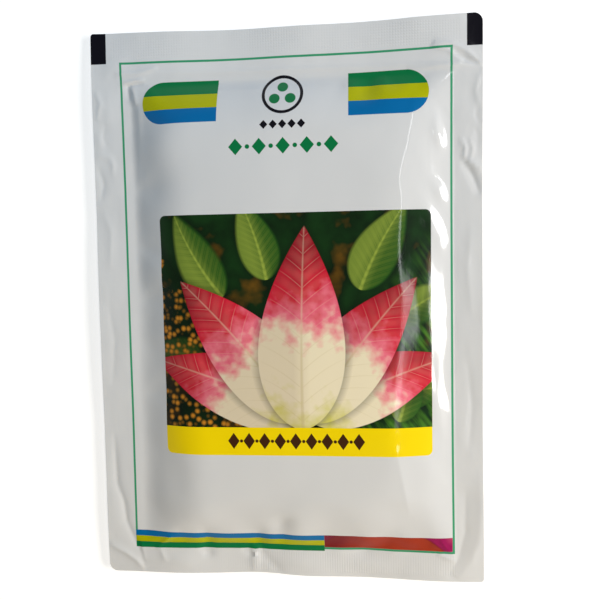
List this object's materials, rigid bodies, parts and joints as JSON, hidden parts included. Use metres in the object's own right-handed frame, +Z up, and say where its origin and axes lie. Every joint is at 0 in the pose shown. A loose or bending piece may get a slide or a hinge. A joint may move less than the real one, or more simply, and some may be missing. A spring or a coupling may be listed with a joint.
{
  "type": "seed packet",
  "caption": "Filled, heat-sealed pouch of glossy laminated film with flat sealed edges, lying on its back.",
  "frame": {"origin": "middle of the packet's outline, on the surface it lies on", "axes": "+X to the packet's right and +Y to its top edge, seen from the front; +Z up, out of its front panel"},
  "size_m": [0.14, 0.2, 0.0107],
  "materials": {
    "front_film": "glossy white laminated film, printed in several colours",
    "back_film": "glossy white laminated film",
    "seeds": "dry, matt brown seed coats"
  },
  "bodies": {
    "root": {"front_film": "front_film", "back_film": "back_film", "seed_bed": "seeds"}
  },
  "joints": []
}
